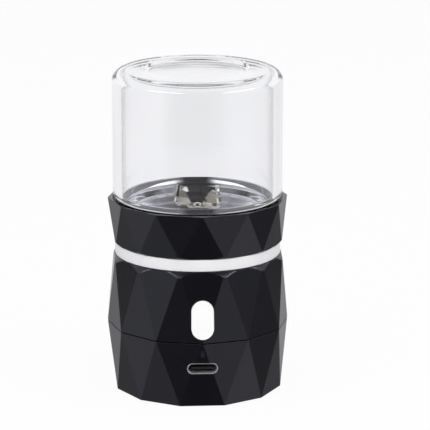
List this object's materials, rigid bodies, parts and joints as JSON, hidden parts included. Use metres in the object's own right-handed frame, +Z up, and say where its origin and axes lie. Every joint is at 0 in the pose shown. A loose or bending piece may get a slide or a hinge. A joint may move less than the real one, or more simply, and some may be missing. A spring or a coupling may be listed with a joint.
{
  "type": "rechargeable glass chamber grinder",
  "caption": "Small upright rechargeable grinder: clear glass jar in a faceted black collar over a steel bowl with a pronged blade, on a faceted base with button and charging socket.",
  "frame": {"origin": "centre of the foot on the table", "axes": "+Z up along the blade's axis, -Y towards the button and the charging socket"},
  "size_m": [0.053, 0.053, 0.0946],
  "materials": {
    "shell_black": "satin moulded ABS",
    "inner_black": "matt moulded plastic",
    "ring_white": "gloss moulded plastic",
    "button_white": "gloss moulded plastic",
    "clear_glass": "clear pressed glass",
    "bowl_steel": "polished stainless steel",
    "blade_steel": "polished stainless steel",
    "plain_steel": "zinc plated or ground steel",
    "socket_steel": "nickel plated steel",
    "bronze": "sintered bronze",
    "copper": "enamelled copper",
    "magnet_grey": "ferrite",
    "foot_rubber": "matt rubber",
    "seal_silicone": "translucent silicone",
    "cap_plastic": "natural nylon",
    "board_green": "solder mask on glass-epoxy",
    "part_black": "moulded epoxy",
    "cell_wrap": "laminate film",
    "pad_foam": "EVA foam",
    "lead_red": "PVC insulation",
    "light_grey": "smoked polycarbonate"
  },
  "bodies": {
    "base": {"foot_ring": "foot_rubber", "bottom_cover": "inner_black", "cover_screws": "plain_steel", "lower_shell": "shell_black", "upper_shell": "shell_black", "white_ring": "ring_white", "neck": "inner_black", "neck_screws": "plain_steel", "bowl_gasket": "seal_silicone", "steel_bowl": "bowl_steel", "bowl_bush": "bronze", "bush_nut": "plain_steel", "shaft_seal": "foot_rubber", "motor_can": "plain_steel", "motor_cap": "cap_plastic", "motor_magnets": "magnet_grey", "motor_terminals": "bronze", "motor_screws": "plain_steel", "front_bearing": "bronze", "rear_bearing": "bronze", "battery": "cell_wrap", "battery_pad": "pad_foam", "battery_leads": "lead_red", "main_board": "board_green", "board_parts": "part_black", "switch_board": "board_green", "push_switch": "part_black", "usb_shell": "socket_steel", "usb_tongue": "part_black", "charge_led": "cap_plastic", "light_pipe": "light_grey"},
    "rotor": {"motor_shaft": "plain_steel", "armature_core": "plain_steel", "armature_coils": "copper", "commutator": "copper", "drive_hub": "plain_steel", "blade": "blade_steel", "blade_screw": "blade_steel"},
    "button": {"power_button": "button_white", "switch_plunger": "cap_plastic"},
    "seal": {"neck_seal": "seal_silicone"},
    "chamber": {"collar": "shell_black", "jar_gasket": "seal_silicone", "glass_jar": "clear_glass"}
  },
  "joints": [
    {"name": "chamber_twist", "type": "hinge", "parent": "base", "child": "seal", "pos_m": [0, 0, 0.05], "axis": [0, 0, 1], "range_deg": [0, 30]},
    {"name": "chamber_lift", "type": "slide", "parent": "seal", "child": "chamber", "axis": [0, 0, 1], "range_m": [0, 0.03]},
    {"name": "blade_spin", "type": "hinge", "parent": "base", "child": "rotor", "pos_m": [0, 0, 0.054], "axis": [0, 0, 1], "continuous": true},
    {"name": "button_press", "type": "slide", "parent": "base", "child": "button", "axis": [0, 1, 0], "range_m": [0, 0.0008], "stiffness_N_per_m": 1200, "springref_m": -0.0005}
  ]
}
